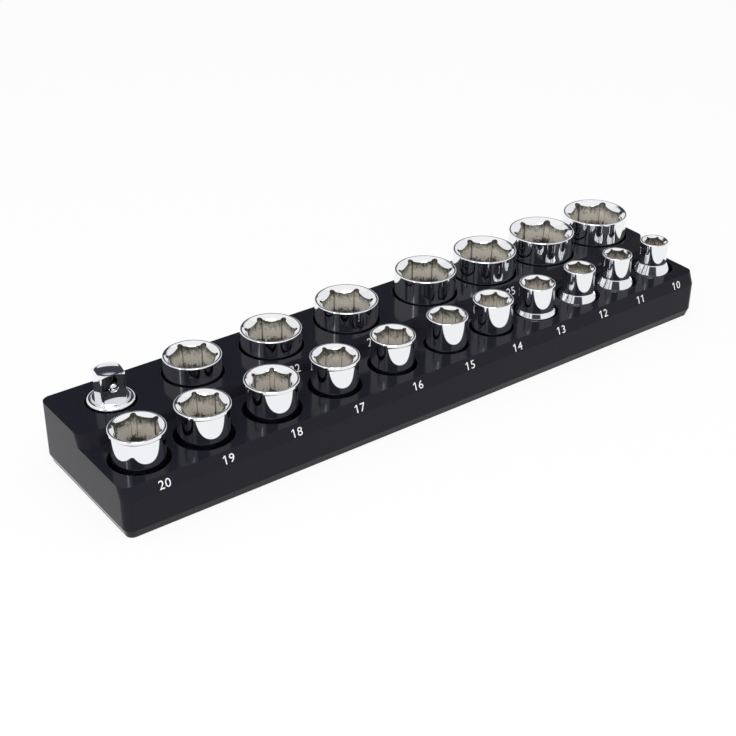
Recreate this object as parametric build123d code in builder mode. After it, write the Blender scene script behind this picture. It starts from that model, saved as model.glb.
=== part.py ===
from build123d import *

import os
from collections import namedtuple
from math import cos, radians, sin, sqrt, tan

# A magnetic tray in two tiers that holds a set of six-point sockets and one drive adaptor.
# Millimetres. Z is up, X runs along the tray towards the smallest socket, and the numbered edge faces -Y.
# The origin is on the ground, under the middle of the tray.

# Sockets, each as: size across the flats, gap between its pocket and the one to its left, diameter at the
# mouth, diameter at the drive end, height of the mouth end, length, and the direction of one corner of
# the hexagon in degrees from +X. The first gap in a row is the one to the end of the tray.
Socket = namedtuple("Socket", "size gap mouth heel neck length turn")
front_sockets = [
    Socket(20, 4.6, 26.8, 25.2, 1.4, 38.0, 10),
    Socket(19, 4.7, 26.8, 24.9, 1.4, 38.0, 21),
    Socket(18, 8.4, 26.8, 24.8, 1.4, 38.0, 56),
    Socket(17, 8.4, 24.7, 23.4, 1.4, 38.0, 28),
    Socket(16, 9.2, 22.9, 22.0, 1.4, 38.0, 12),
    Socket(15, 10.4, 21.4, 21.4, 0.0, 38.0, 12),
    Socket(14, 7.1, 21.4, 21.4, 0.0, 38.0, 40),
    Socket(13, 7.1, 19.2, 22.0, 13.7, 38.0, 50),
    Socket(12, 6.5, 17.4, 22.0, 13.7, 38.0, 52),
    Socket(11, 4.4, 16.4, 22.0, 13.7, 38.0, 16),
    Socket(10, 5.0, 15.7, 22.0, 13.7, 38.0, 26),
]
rear_sockets = [
    Socket(21, 16.4, 29.1, 29.1, 0.0, 38.0, 30),
    Socket(22, 13.4, 31.2, 31.2, 0.0, 38.0, 25),
    Socket(23, 12.5, 33.1, 33.1, 0.0, 40.0, 30),
    Socket(24, 17.0, 33.1, 33.1, 0.0, 42.0, 29),
    Socket(25, 5.7, 34.8, 34.8, 0.0, 42.0, 25),
    Socket(26, 4.5, 36.7, 36.7, 0.0, 42.0, 34),
    Socket(27, 3.5, 36.7, 36.7, 0.0, 42.0, 28),
]
rim_width = 1.1
lead_in_slope = 20.0
neck_taper = 3.6
drive_square = 12.85
drive_depth = 16.0

# Drive adaptor: a round body with a square hole below and a square end above
adapter_gap = 14.7
adapter_diameter = 23.1
adapter_body_height = 21.0
adapter_edge = 1.2
collar_diameter = 18.4
collar_height = 0.8
male_square = 12.6
male_length = 14.7
male_corner_radius = 1.3
male_top_diameter = 11.7
male_top_chamfer = 2.4
female_square = 9.6
female_depth = 11.5
adapter_turn = -8.0

# Ball and spring of the square end
ball_diameter = 3.9
ball_reach = 0.9
ball_below_top = 7.2
ball_clearance = 0.08
ball_lip = 0.15
spring_length = 4.4
spring_diameter = 3.2
spring_wire = 0.5
spring_turns = 3

# Pockets
front_clearance = 1.2
rear_clearance = 1.0
pocket_floor = 5.0
adapter_floor = 14.0
web = 1.0
cup_wall = 1.8

# Tray outside
front_end_margin = 3.0
rear_end_margin = 2.5
front_land = 3.75
rear_land = 0.8
front_slope_run = 2.7
riser_run = 2.8
corner_radius = 5.0
skirt_height = 4.5
skirt_inset = 1.3
front_wall_top = 20.0
front_deck = 26.6
rear_deck = 33.4

# Tray inside
wall = 2.8
deck_thickness = 2.2

# Base plate
flange_thickness = 1.0
step_height = 1.0
flange_clearance = 0.3
step_clearance = 0.2
post_diameter = 14.0

# Magnets are square blocks
pocket_magnet = 10.0
pocket_magnet_thickness = 2.0
base_magnet_length = 20.0
base_magnet_width = 10.0
base_magnet_thickness = 1.4
base_magnet_recess = 0.1
base_magnet_count = 6
base_magnet_pitch = 58.0
magnet_clearance = 0.15

# Low-head base screws, sunk into the plate, and their bosses
screw_diameter = 2.9
screw_head_diameter = 5.6
screw_head_height = 1.2
screw_length = 9.0
screw_recess = 0.2
screw_clearance = 0.2
screw_key = 2.0
screw_key_depth = 0.8
pilot_clearance = 0.05
boss_diameter = 7.0
boss_inset = 6.6

# Where things come, worked out from the sizes above
Pocket = namedtuple("Pocket", "x y diameter floor")


def lay_out(gaps, diameters, floors, row, start):
    """Place one row of pockets from the left end of the tray, gap by gap."""
    pockets = []
    edge = start
    for gap, diameter, floor in zip(gaps, diameters, floors):
        edge = edge + gap
        pockets.append(Pocket(edge + diameter / 2, row, diameter, floor))
        edge = edge + diameter
    return pockets


def widest(socket):
    """Largest diameter of a socket."""
    return max(socket.mouth, socket.heel)


front_gaps = [socket.gap for socket in front_sockets]
front_diameters = [widest(socket) + 2 * front_clearance for socket in front_sockets]
rear_gaps = [adapter_gap] + [socket.gap for socket in rear_sockets]
rear_diameters = [adapter_diameter + 2 * rear_clearance]
rear_diameters += [widest(socket) + 2 * rear_clearance for socket in rear_sockets]

tray_length = max(
    sum(front_gaps) + sum(front_diameters) + front_end_margin,
    sum(rear_gaps) + sum(rear_diameters) + rear_end_margin,
)
front_shelf = max(front_diameters) + 2 * front_land
rear_shelf = max(rear_diameters) + 2 * rear_land
tray_depth = front_slope_run + front_shelf + riser_run + rear_shelf

tray_left = -tray_length / 2
tray_front = -tray_depth / 2
tray_back = tray_depth / 2
front_row = tray_front + front_slope_run + front_shelf / 2
riser_foot = tray_front + front_slope_run + front_shelf
rear_row = tray_back - rear_shelf / 2

front_floors = [pocket_floor] * len(front_sockets)
rear_floors = [adapter_floor] + [pocket_floor] * len(rear_sockets)
front_pockets = lay_out(front_gaps, front_diameters, front_floors, front_row, tray_left)
rear_pockets = lay_out(rear_gaps, rear_diameters, rear_floors, rear_row, tray_left)
adapter_pocket = rear_pockets[0]
pockets_by_floor = {pocket_floor: front_pockets + rear_pockets[1:], adapter_floor: [adapter_pocket]}
plate_top = flange_thickness + step_height


def slope_front(height):
    """Front edge of the lower tier at one height: upright, then leaning back to the deck."""
    climb = max(height - front_wall_top, 0) / (front_deck - front_wall_top)
    return tray_front + front_slope_run * climb


def riser_front(height):
    """Front edge of the upper tier at one height."""
    return riser_foot + riser_run * (height - front_deck) / (rear_deck - front_deck)


def outline(height, front, inset):
    """The tray's rounded outline at one height, from its front edge to the back, drawn in all round."""
    with BuildSketch(Plane.XY.offset(height)) as sketch:
        with Locations((0, (front + tray_back) / 2)):
            RectangleRounded(
                tray_length - 2 * inset,
                tray_back - front - 2 * inset,
                max(corner_radius - inset, 1.0),
            )
    return sketch.sketch


def between(left, right, row):
    """The point midway between two neighbouring pockets, in line with the row of bosses."""
    x = (left.x + left.diameter / 2 + right.x - right.diameter / 2) / 2
    return (x, row)


bosses = []
for pockets, row in ((front_pockets, tray_front + boss_inset), (rear_pockets, tray_back - boss_inset)):
    bosses.append(between(pockets[0], pockets[1], row))
    bosses.append(between(pockets[-2], pockets[-1], row))

os.makedirs("parts", exist_ok=True)


def save(piece, name):
    """Label a finished piece and write its file."""
    piece.part.label = name
    export_step(piece.part, f"parts/{name}.step")


# Tray shell: a hollow moulding, open below, with a cup for each pocket and a boss for each screw
lower_top = front_deck - deck_thickness
upper_top = rear_deck - deck_thickness

with BuildPart() as outside:
    loft([outline(flange_thickness, tray_front, skirt_inset), outline(skirt_height, tray_front, 0)], ruled=True)
    loft([outline(skirt_height, tray_front, 0), outline(front_wall_top, tray_front, 0)], ruled=True)
    loft([outline(front_wall_top, tray_front, 0), outline(front_deck, slope_front(front_deck), 0)], ruled=True)
    loft([outline(front_deck, riser_foot, 0), outline(rear_deck, riser_front(rear_deck), 0)], ruled=True)

with BuildPart() as inside:
    loft([outline(flange_thickness, tray_front, wall), outline(front_wall_top, tray_front, wall)], ruled=True)
    loft([outline(front_wall_top, tray_front, wall), outline(lower_top, slope_front(lower_top), wall)], ruled=True)
    loft([outline(lower_top, riser_front(lower_top), wall), outline(upper_top, riser_front(upper_top), wall)],
         ruled=True)

with BuildPart() as cups:
    for floor, pockets in pockets_by_floor.items():
        foot = floor - web - pocket_magnet_thickness
        with BuildSketch(Plane.XY.offset(foot)):
            for pocket in pockets:
                with Locations((pocket.x, pocket.y)):
                    Circle(pocket.diameter / 2 + cup_wall)
        extrude(amount=rear_deck - foot)
    with BuildSketch(Plane.XY.offset(plate_top)):
        with Locations(*bosses):
            Circle(boss_diameter / 2)
    extrude(amount=rear_deck - plate_top)
    add(outside.part, mode=Mode.INTERSECT)

with BuildPart() as tray_shell:
    add(outside.part)
    add(inside.part, mode=Mode.SUBTRACT)
    add(cups.part)
    for floor, pockets in pockets_by_floor.items():
        with BuildSketch(Plane.XY.offset(floor)):
            for pocket in pockets:
                with Locations((pocket.x, pocket.y)):
                    Circle(pocket.diameter / 2)
        extrude(amount=rear_deck, mode=Mode.SUBTRACT)
        with BuildSketch(Plane.XY.offset(floor - web)):
            with Locations(*[(pocket.x, pocket.y) for pocket in pockets]):
                Rectangle(pocket_magnet + 2 * magnet_clearance, pocket_magnet + 2 * magnet_clearance)
        extrude(amount=-pocket_magnet_thickness, mode=Mode.SUBTRACT)
    with BuildSketch(Plane.XY.offset(plate_top)):
        with Locations(*bosses):
            Circle(screw_diameter / 2 + pilot_clearance)
    extrude(amount=screw_length, mode=Mode.SUBTRACT)
save(tray_shell, "tray_shell")

# Base plate: a flange under the skirt, a step that centres it in the shell, and a post for the high pocket
flange_inset = skirt_inset + flange_clearance
step_inset = wall + step_clearance
magnet_seat_depth = base_magnet_thickness + base_magnet_recess

with BuildPart() as base_plate:
    extrude(outline(0, tray_front, flange_inset), amount=flange_thickness)
    extrude(outline(flange_thickness, tray_front, step_inset), amount=step_height)
    with BuildSketch(Plane.XY.offset(plate_top)):
        with Locations((adapter_pocket.x, adapter_pocket.y)):
            Circle(post_diameter / 2)
    extrude(amount=adapter_floor - web - pocket_magnet_thickness - plate_top)
    with BuildSketch(Plane.XY):
        with GridLocations(base_magnet_pitch, 0, base_magnet_count, 1):
            Rectangle(base_magnet_length + 2 * magnet_clearance, base_magnet_width + 2 * magnet_clearance)
    extrude(amount=magnet_seat_depth, mode=Mode.SUBTRACT)
    with Locations(*[Plane((x, y, 0), z_dir=(0, 0, -1)) for x, y in bosses]):
        CounterBoreHole(
            screw_diameter / 2 + screw_clearance,
            screw_head_diameter / 2 + screw_clearance,
            screw_recess + screw_head_height,
            plate_top,
        )
save(base_plate, "base_plate")


def pocket_magnets(pockets):
    """Square magnets under the floors of a row of pockets."""
    with BuildPart() as magnets:
        for pocket in pockets:
            with BuildSketch(Plane((pocket.x, pocket.y, pocket.floor - web))):
                Rectangle(pocket_magnet, pocket_magnet)
            extrude(amount=-pocket_magnet_thickness)
    return magnets


save(pocket_magnets(front_pockets), "front_pocket_magnets")
save(pocket_magnets(rear_pockets), "rear_pocket_magnets")

# Base magnets: a row of flat blocks let into the plate from below
with BuildPart() as base_magnets:
    with BuildSketch(Plane.XY.offset(base_magnet_recess)):
        with GridLocations(base_magnet_pitch, 0, base_magnet_count, 1):
            Rectangle(base_magnet_length, base_magnet_width)
    extrude(amount=base_magnet_thickness)
save(base_magnets, "base_magnets")

# Base screws: low round heads with a hexagonal key hole
with BuildPart() as base_screws:
    with BuildSketch(Plane.XY.offset(screw_recess)):
        with Locations(*bosses):
            Circle(screw_head_diameter / 2)
            RegularPolygon(screw_key / 2, 6, major_radius=False, mode=Mode.SUBTRACT)
    extrude(amount=screw_head_height)
    with BuildSketch(Plane.XY.offset(screw_recess + screw_key_depth)):
        with Locations(*bosses):
            Circle(screw_diameter / 2)
    extrude(amount=screw_length - screw_key_depth)
save(base_screws, "base_screws")


def make_socket(socket, pocket):
    """A socket standing mouth up in its pocket: hexagon above, drive square below."""
    foot = Plane((pocket.x, pocket.y, pocket.floor))
    mouth = socket.mouth / 2
    heel = socket.heel / 2
    throat = mouth - rim_width
    with BuildPart() as piece:
        with BuildSketch(Plane(foot.origin, x_dir=(1, 0, 0), z_dir=(0, -1, 0))):
            with BuildLine():
                if socket.neck > 0:
                    outer = [
                        (heel, 0),
                        (heel, socket.length - socket.neck - neck_taper),
                        (mouth, socket.length - socket.neck),
                        (mouth, socket.length),
                    ]
                else:
                    outer = [(mouth, 0), (mouth, socket.length)]
                lead_in = (0, socket.length - throat * tan(radians(lead_in_slope)))
                Polyline((0, 0), *outer, (throat, socket.length), lead_in, close=True)
            make_face()
        revolve(axis=Axis(foot.origin, (0, 0, 1)))
        with BuildSketch(foot.offset(drive_depth)):
            RegularPolygon(socket.size / 2, 6, major_radius=False, rotation=socket.turn)
        extrude(amount=socket.length, mode=Mode.SUBTRACT)
        with BuildSketch(foot):
            Rectangle(drive_square, drive_square, rotation=socket.turn)
        extrude(amount=drive_depth, mode=Mode.SUBTRACT)
    return piece


for socket, pocket in zip(front_sockets + rear_sockets, front_pockets + rear_pockets[1:]):
    save(make_socket(socket, pocket), f"socket_{socket.size}")

# Drive adaptor
adapter_foot = Plane((adapter_pocket.x, adapter_pocket.y, adapter_floor))
adapter_axis = Axis(adapter_foot.origin, (0, 0, 1))
adapter_side = Plane(adapter_foot.origin, x_dir=(1, 0, 0), z_dir=(0, -1, 0))
shoulder = adapter_body_height + collar_height
adapter_height = shoulder + male_length
ball_height = adapter_height - ball_below_top
ball_radius = ball_diameter / 2
ball_centre = male_square / 2 + ball_reach - ball_radius
bore_radius = ball_radius + ball_clearance
lip_chord = ball_radius**2 - (male_square / 2 - ball_lip - ball_centre) ** 2
lip_radius = sqrt(lip_chord) + ball_clearance
spring_gap = 0.05
bore_end = ball_centre - ball_radius - spring_gap - spring_length - spring_gap
facing = Vector(sin(radians(adapter_turn)), -cos(radians(adapter_turn)), 0)
bore_origin = adapter_foot.origin + Vector(0, 0, ball_height)
ball_bore = Plane(bore_origin, x_dir=(0, 0, 1), z_dir=facing)

with BuildPart() as drive_adapter:
    with BuildSketch(adapter_foot.offset(shoulder)):
        RectangleRounded(male_square, male_square, male_corner_radius, rotation=adapter_turn)
    extrude(amount=male_length)
    with BuildSketch(adapter_side):
        with BuildLine():
            slope = male_square / sqrt(2) - male_top_diameter / 2
            Polyline(
                (0, 0),
                (male_top_diameter / 2 + slope, 0),
                (male_top_diameter / 2 + slope, adapter_height - male_top_chamfer),
                (male_top_diameter / 2, adapter_height),
                (0, adapter_height),
                close=True,
            )
        make_face()
    revolve(axis=adapter_axis, mode=Mode.INTERSECT)
    with BuildSketch(adapter_side):
        with BuildLine():
            Polyline(
                (0, 0),
                (adapter_diameter / 2, 0),
                (adapter_diameter / 2, adapter_body_height - adapter_edge),
                (adapter_diameter / 2 - adapter_edge, adapter_body_height),
                (collar_diameter / 2, adapter_body_height),
                (collar_diameter / 2, shoulder),
                (0, shoulder),
                close=True,
            )
        make_face()
    revolve(axis=adapter_axis)
    with BuildSketch(adapter_foot):
        Rectangle(female_square, female_square, rotation=adapter_turn)
    extrude(amount=female_depth, mode=Mode.SUBTRACT)
    with BuildSketch(ball_bore.offset(bore_end)):
        Circle(bore_radius)
    extrude(amount=male_square / 2 - ball_lip - bore_end, mode=Mode.SUBTRACT)
    with BuildSketch(ball_bore.offset(bore_end)):
        Circle(lip_radius)
    extrude(amount=male_square, mode=Mode.SUBTRACT)
save(drive_adapter, "drive_adapter")

with BuildPart(ball_bore.offset(ball_centre)) as detent_ball:
    Sphere(ball_radius)
save(detent_ball, "detent_ball")

# Detent spring: square wire wound behind the ball
coil_radius = (spring_diameter - spring_wire) / 2
coil_height = spring_length - spring_wire
coil_foot = ball_bore.offset(bore_end + spring_gap + spring_wire / 2)
with BuildPart() as detent_spring:
    with BuildLine():
        coil = Helix(
            coil_height / spring_turns,
            coil_height,
            coil_radius,
            center=coil_foot.origin,
            direction=coil_foot.z_dir,
        )
    with BuildSketch(Plane(coil @ 0, x_dir=coil_foot.z_dir, z_dir=coil % 0)):
        Rectangle(spring_wire, spring_wire)
    sweep(path=coil, is_frenet=True)
save(detent_spring, "detent_spring")

gap_between_turns = coil_height / spring_turns - spring_wire
print("least gap between the turns of the spring:", round(gap_between_turns, 3))
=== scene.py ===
from math import atan2, cos, degrees, pi, radians, sin, sqrt, tan

import bpy
from bpy.props import (
    FloatProperty,
    FloatVectorProperty,
    IntProperty,
    PointerProperty,
)
from mathutils import Matrix, Vector


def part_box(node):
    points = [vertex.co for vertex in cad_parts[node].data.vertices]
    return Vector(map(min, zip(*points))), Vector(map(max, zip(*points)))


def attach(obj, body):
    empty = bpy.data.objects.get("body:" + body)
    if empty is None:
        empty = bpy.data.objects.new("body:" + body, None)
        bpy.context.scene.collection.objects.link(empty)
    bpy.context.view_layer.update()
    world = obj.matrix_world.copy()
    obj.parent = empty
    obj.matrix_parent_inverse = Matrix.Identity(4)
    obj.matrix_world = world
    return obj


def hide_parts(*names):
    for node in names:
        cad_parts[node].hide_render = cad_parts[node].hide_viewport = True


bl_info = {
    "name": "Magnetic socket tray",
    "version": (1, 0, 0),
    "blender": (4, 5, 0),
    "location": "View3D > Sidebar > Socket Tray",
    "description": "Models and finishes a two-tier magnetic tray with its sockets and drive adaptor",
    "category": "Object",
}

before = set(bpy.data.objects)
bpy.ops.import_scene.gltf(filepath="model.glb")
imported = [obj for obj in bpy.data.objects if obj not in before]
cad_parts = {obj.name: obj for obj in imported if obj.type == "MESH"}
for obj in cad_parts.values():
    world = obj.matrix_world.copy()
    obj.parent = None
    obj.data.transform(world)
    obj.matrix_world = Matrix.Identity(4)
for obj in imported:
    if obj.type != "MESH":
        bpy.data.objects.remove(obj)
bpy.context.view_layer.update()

MM = 0.001

FRONT_SIZES = (20, 19, 18, 17, 16, 15, 14, 13, 12, 11, 10)
REAR_SIZES = (21, 22, 23, 24, 25, 26, 27)

# For each socket the direction of one corner of its hexagon, in degrees from +X, then in millimetres its
# diameters and the height of the mouth end above the taper. A straight socket has neither heel nor mouth end.
HEX_TURN = {
    20: 10, 19: 21, 18: 56, 17: 28, 16: 12, 15: 12, 14: 40, 13: 50, 12: 52, 11: 16, 10: 26,
    21: 30, 22: 25, 23: 30, 24: 29, 25: 25, 26: 34, 27: 28,
}
MOUTH_DIAMETER = {
    20: 26.8, 19: 26.8, 18: 26.8, 17: 24.7, 16: 22.9, 15: 21.4, 14: 21.4, 13: 19.2, 12: 17.4, 11: 16.4,
    10: 15.7, 21: 29.1, 22: 31.2, 23: 33.1, 24: 33.1, 25: 34.8, 26: 36.7, 27: 36.7,
}
HEEL_DIAMETER = {20: 25.2, 19: 24.9, 18: 24.8, 17: 23.4, 16: 22.0, 13: 22.0, 12: 22.0, 11: 22.0, 10: 22.0}
NECK_HEIGHT = {20: 1.4, 19: 1.4, 18: 1.4, 17: 1.4, 16: 1.4, 13: 13.7, 12: 13.7, 11: 13.7, 10: 13.7}


class Box:
    """A node's box in millimetres."""

    def __init__(self, node):
        low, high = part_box(node)
        self.low = Vector(low) / MM
        self.high = Vector(high) / MM
        self.middle = (self.low + self.high) / 2
        self.size = self.high - self.low


TRAY = Box("tray_shell")
SOCKET_BOXES = {size: Box(f"socket_{size}") for size in FRONT_SIZES + REAR_SIZES}
ADAPTOR = Box("drive_adapter")
POCKETS = {**SOCKET_BOXES, "adaptor": ADAPTOR}
FLARED = (13, 12, 11, 10)

# The depth under a socket's mouth, which places the bore's painted shade, is noted in an attribute that reaches 1 at
# this many millimetres
DEPTH_NOTE = "bore_depth"
DEPTH_SPAN = 14.0
# A face within the match of a corner groove's wall is noted, with at least this value, for the painted shade along the
# grooves
GROOVE_NOTE = "bore_groove"
GROOVE_LEAST = 0.05
GROOVE_MATCH = 0.06
# Painted shade in a bore: the dark colour painted near its mouth and near its floor, and what multiplies its wall by
# the note of its grooves to paint shade along their sides
BORE_PAINTED_SHADE = (0.10, 0.09, 0.07)
GROOVE_PAINTED_SHADE_STOPS = [(0.0, (0.95, 0.95, 0.95)), (0.04, (0.03, 0.03, 0.02)), (0.45, (0.12, 0.11, 0.09)), (0.8, (1, 1, 1))]

# Faces of a socket's profile: round its foot, its lip, under its bead, up its flare, and into its mouth
FOOT_STEPS = 5
LIP_STEPS = 14
BEAD_STEPS = 8
FLARE_STEPS = 10
EDGE_STEPS = 4
MOUTH_STEPS = 12
# Each corner groove starts this much above the last, so that their ends share no plane
GROOVE_STEP = 0.013

# How far a cutter passes what it cuts, and when places and directions count as the same
CUT_PAST = 1.0
SAME_HEIGHT = 0.01
DECK_MATCH = 0.05
POCKET_MATCH = 0.1
RING_MATCH = 0.03
FLAT_MATCH = 0.9999
LEVEL = 0.9
UPRIGHT = 0.2
INWARD = -0.5
# Where a bore's second finish ends: short of the mouth's edge, and on ledges away from both ends
THROAT_MARGIN = 0.3
LEDGE_FROM_FOOT = 1
LEDGE_FROM_TOP = 6

# The size numbers: how far up their slope they stand, and how far each is printed beside its socket's middle
DIGIT_SHARE = 0.42
FRONT_DIGIT_SHIFT = {0: 0.6, 20: 1.5, 19: 0.8, 16: 1.0, 15: -0.3, 14: 0.9, 12: 0.9, 11: 0.8, 10: -0.3}
REAR_DIGIT_SHIFT = {0: -0.8, 22: -0.4, 23: 0.6, 25: 1.4, 26: 1.8}
DIGIT_CAP_SHARE = 0.7
DIGIT_THICKNESS = 0.03
DIGIT_THINNING = 0.015
DIGIT_WIDENING = 1.05
DIGIT_PITCH = 3.25
FLAG_LENGTH = 1.35
FLAG_WIDTH = 0.42
FLAG_TURN = 42
FLAG_SHIFT = 0.3
FLAG_DROP = 0.42

# The adaptor's roundings, the moat round its collar as (outwards, down), and the foot of its square as
# (share of its half width, up)
BODY_FOOT = 0.5
BODY_STEPS = 10
COLLAR_EDGE = 0.45
COLLAR_STEPS = 6
COLLAR_MOAT = ((0.45, 0), (0.25, 0.22), (0.05, 0.1))
SQUARE_FOOT = ((1.16, 0), (1.13, 0.05), (0, 0.05))
# Its end is domed by this much, a ring is staked round its ball, and the ball's seat reaches back past the spring
END_DOME = 0.55
STAKED_RING = 2.3
STAKED_DEPTH = 0.3
STAKED_EDGE = 0.25
BALL_STEPS = 24
BALL_CLEARANCE = 0.08
SEAT_REACH = 6.45
DOME_STEPS = 8
CONE_STEPS = 10

NODE_FINISHES = {
    "base_plate": "matt_black",
    "front_pocket_magnets": "magnet",
    "rear_pocket_magnets": "magnet",
    "base_magnets": "magnet",
    "base_screws": "screw_steel",
    "detent_spring": "spring_steel",
}

# The camera, in millimetres and degrees
CAMERA_PLACE = (-395.55, -502.27, 385.83)
CAMERA_AZIMUTH = -36.824
CAMERA_ELEVATION = 30.660
CAMERA_ROLL = 0.551
CAMERA_LENS = 68.96
SENSOR_WIDTH = 36.0

# The floor's size in metres, and how far it lies under the object in millimetres
FLOOR_SIZE = 12.0
FLOOR_DROP = 0.05
# The room by the height of a direction and by how far it points to the camera's side (the brighter of the
# two counts), and the soft panels in metres and watts: place, aim, width, height and power
LOW_WALL = (0.9, 0.9, 0.9)
DARK_BAND = (0.05, 0.053, 0.068)
CEILING = (1.0, 1.0, 1.0)
SIDE_WALL = (0.92, 0.92, 0.93)
SKY_STOPS = [(0.0, LOW_WALL), (0.36, LOW_WALL), (0.40, DARK_BAND), (0.68, DARK_BAND), (0.78, CEILING), (1.0, CEILING)]
SIDE_STOPS = [(0.34, (0, 0, 0)), (0.42, SIDE_WALL), (1.0, SIDE_WALL)]
SOFTBOXES = [
    ("front_panel", (-0.43, -0.55, 1.22), (0, 0, 0.02), 0.7, 0.7, 10.0),
    ("left_panel", (-1.5, -0.25, 0.8), (-0.1, 0, 0.02), 0.12, 0.9, 2.0),
]


# Modelling helpers


def leave_edit():
    bpy.ops.object.mode_set(mode="OBJECT")


def edit_all():
    """Go to edit mode with everything selected."""
    bpy.ops.object.mode_set(mode="EDIT")
    bpy.ops.mesh.select_all(action="SELECT")


def at_rest():
    """Leave edit mode and deselect everything."""
    if bpy.context.mode != "OBJECT":
        leave_edit()
    bpy.ops.object.select_all(action="DESELECT")


def make_active(piece):
    """Select one piece alone and make it the active one."""
    at_rest()
    piece.select_set(True)
    bpy.context.view_layer.objects.active = piece


def choose(piece, test, kind="FACE"):
    """Go to edit mode with the faces, edges or vertices selected whose middle passes a test."""
    make_active(piece)
    bpy.ops.object.mode_set(mode="EDIT")
    bpy.ops.mesh.select_mode(type=kind)
    bpy.ops.mesh.select_all(action="DESELECT")
    leave_edit()
    mesh = piece.data
    if kind == "VERT":
        for vertex in mesh.vertices:
            vertex.select = test(vertex.co / MM, vertex.normal)
    elif kind == "EDGE":
        for edge in mesh.edges:
            ends = [mesh.vertices[i].co / MM for i in edge.vertices]
            edge.select = test((ends[0] + ends[1]) / 2, (ends[1] - ends[0]).normalized())
    else:
        for face in mesh.polygons:
            face.select = test(face.center / MM, face.normal)
    bpy.ops.object.mode_set(mode="EDIT")


def bake_place():
    """Put the selected pieces' place, turn and scale into their meshes."""
    bpy.ops.object.transform_apply(location=True, rotation=True, scale=True)


def bevel_chosen(offset, segments):
    """Bevel the chosen edges, by an offset in metres, and leave edit mode."""
    bpy.ops.mesh.bevel(offset=offset, segments=segments, affect="EDGES")
    leave_edit()


def name_piece(name):
    """Give the active piece its name."""
    piece = bpy.context.active_object
    piece.name = name
    piece.data.name = name
    return piece


def settle(piece, smooth=14.0):
    """Put a finished piece's place into its mesh and smooth it, with its broad faces kept flat."""
    make_active(piece)
    bake_place()
    bpy.ops.object.shade_smooth_by_angle(angle=radians(smooth))
    flat = piece.modifiers.new("keep_flat", "WEIGHTED_NORMAL")
    flat.mode = "FACE_AREA"
    flat.weight = 50
    flat.keep_sharp = True
    bpy.ops.object.modifier_apply(modifier=flat.name)


def tidy_mesh(piece):
    """Merge doubled points and turn every face outwards."""
    make_active(piece)
    edit_all()
    bpy.ops.mesh.remove_doubles(threshold=0.002 * MM)
    bpy.ops.mesh.normals_make_consistent(inside=False)
    leave_edit()


def turn_on_lathe(name, profile, place=(0, 0), steps=128):
    """Spin a profile of (radius, height) points about an upright axis, from one pole or edge to the other."""
    at_rest()
    x, y = place
    start = Vector((x + profile[0][0], y, profile[0][1])) * MM
    bpy.ops.mesh.primitive_plane_add(size=MM, location=start)
    bake_place()
    piece = name_piece(name)
    bpy.ops.object.mode_set(mode="EDIT")
    bpy.ops.mesh.select_mode(type="VERT")
    bpy.ops.mesh.select_all(action="SELECT")
    bpy.ops.mesh.merge(type="CENTER")
    for (radius, height), (next_radius, next_height) in zip(profile, profile[1:]):
        step = Vector((next_radius - radius, 0, next_height - height)) * MM
        bpy.ops.mesh.extrude_region_move(TRANSFORM_OT_translate={"value": step})
    bpy.ops.mesh.select_all(action="SELECT")
    bpy.ops.mesh.spin(steps=steps, angle=2 * pi, center=(x * MM, y * MM, 0), axis=(0, 0, 1))
    tidy_mesh(piece)
    return piece


def prism(name, sides, flats, bottom, top, place, turn):
    """An upright prism of a regular polygon, by its size across the flats and one corner's direction."""
    at_rest()
    radius = flats / 2 / cos(pi / sides)
    bpy.ops.mesh.primitive_cylinder_add(
        vertices=sides,
        radius=radius * MM,
        depth=(top - bottom) * MM,
        location=Vector((place[0], place[1], (bottom + top) / 2)) * MM,
        rotation=(0, 0, radians(turn - 90)),
    )
    bake_place()
    return name_piece(name)


def post(name, radius, bottom, top, place, sides=96):
    """An upright round cutter or boss."""
    return prism(name, sides, 2 * radius * cos(pi / sides), bottom, top, place, 0)


def join(pieces):
    """Join pieces into the first one."""
    at_rest()
    for piece in pieces:
        piece.select_set(True)
    bpy.context.view_layer.objects.active = pieces[0]
    if len(pieces) > 1:
        bpy.ops.object.join()
    return pieces[0]


def copy_of(piece):
    """A copy of a piece, selected alone and active."""
    make_active(piece)
    bpy.ops.object.duplicate()
    return bpy.context.active_object


def combine(piece, tool, operation="DIFFERENCE"):
    """Apply an exact boolean of a tool to a piece, and delete the tool."""
    make_active(piece)
    cut = piece.modifiers.new("cut", "BOOLEAN")
    cut.operation = operation
    cut.solver = "EXACT"
    cut.object = tool
    bpy.ops.object.modifier_apply(modifier=cut.name)
    bpy.data.objects.remove(tool, do_unlink=True)
    return piece


def ease_edges(piece, width, angle=30.0, segments=3):
    """Round a piece's sharp edges a little, with a bevel that is applied."""
    make_active(piece)
    bevel = piece.modifiers.new("ease", "BEVEL")
    bevel.width = width * MM
    bevel.segments = segments
    bevel.limit_method = "ANGLE"
    bevel.angle_limit = radians(angle)
    bevel.miter_outer = "MITER_ARC"
    bevel.use_clamp_overlap = True
    bpy.ops.object.modifier_apply(modifier=bevel.name)


def arc(middle, radius, first, last, steps):
    """Points of an arc in a profile, by its middle, its radius and two directions in degrees."""
    span = (last - first) / steps
    return [
        (middle[0] + radius * cos(radians(first + span * i)), middle[1] + radius * sin(radians(first + span * i)))
        for i in range(steps + 1)
    ]


# Shader helpers


class Wire:
    """One output of a shader node, on which maths is written as on a number."""

    def __init__(self, board, output):
        self.board = board
        self.output = output

    def maths(self, operation, first, second):
        return self.board.node("ShaderNodeMath", {"operation": operation}, {0: first, 1: second})

    def __add__(self, other):
        return self.maths("ADD", self, other)

    def __radd__(self, other):
        return self.maths("ADD", other, self)

    def __sub__(self, other):
        return self.maths("SUBTRACT", self, other)

    def __rsub__(self, other):
        return self.maths("SUBTRACT", other, self)

    def __mul__(self, other):
        return self.maths("MULTIPLY", self, other)

    def __rmul__(self, other):
        return self.maths("MULTIPLY", other, self)


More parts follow.
